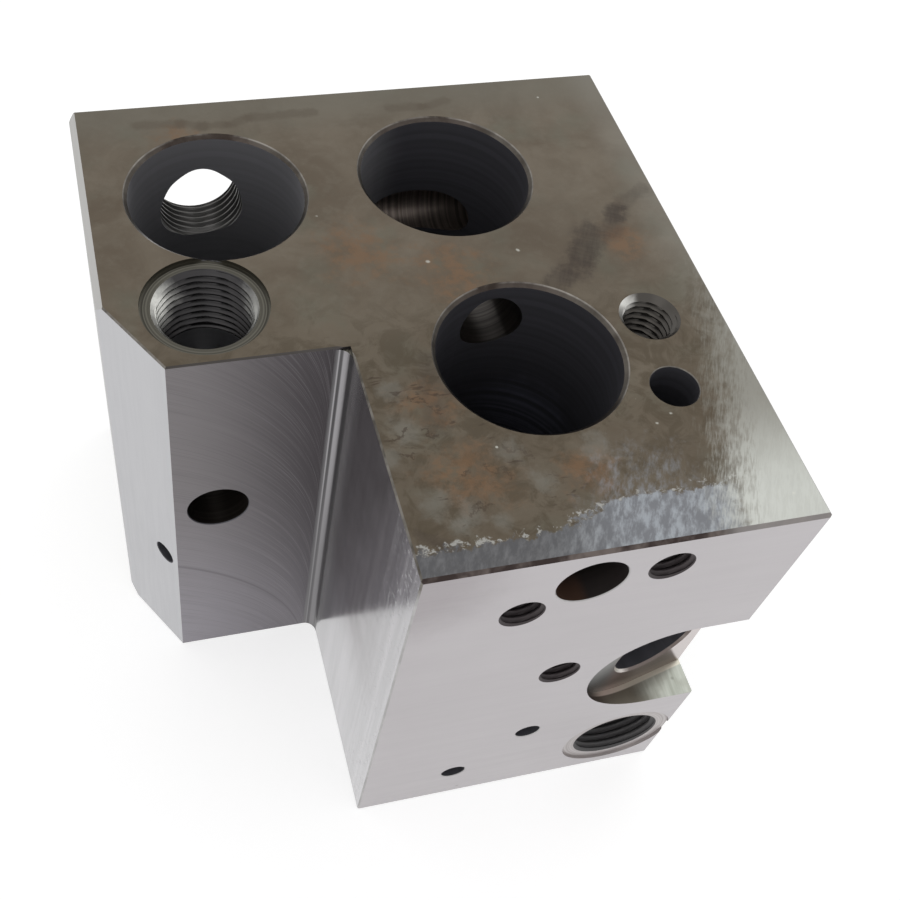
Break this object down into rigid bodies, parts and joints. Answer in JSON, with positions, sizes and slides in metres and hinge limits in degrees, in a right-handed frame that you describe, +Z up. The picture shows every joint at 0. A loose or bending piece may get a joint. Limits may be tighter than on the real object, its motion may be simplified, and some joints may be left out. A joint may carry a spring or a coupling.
{
  "type": "valve body",
  "caption": "Machined steel manifold block for a hydraulic valve: cartridge bores, threaded ports, fixing threads and the drilled galleries between them, with a notched corner.",
  "frame": {"origin": "middle of the bottom face of the block's box", "axes": "+Z up along the cartridge bores, out of their mouths; +Y to the rear face; +X to the right face"},
  "size_m": [0.1064, 0.11, 0.0985],
  "materials": {
    "body_steel": "ground and milled steel, satin, with a thin oily stain on the top face"
  },
  "bodies": {
    "root": {"valve_body": "body_steel"}
  },
  "joints": []
}
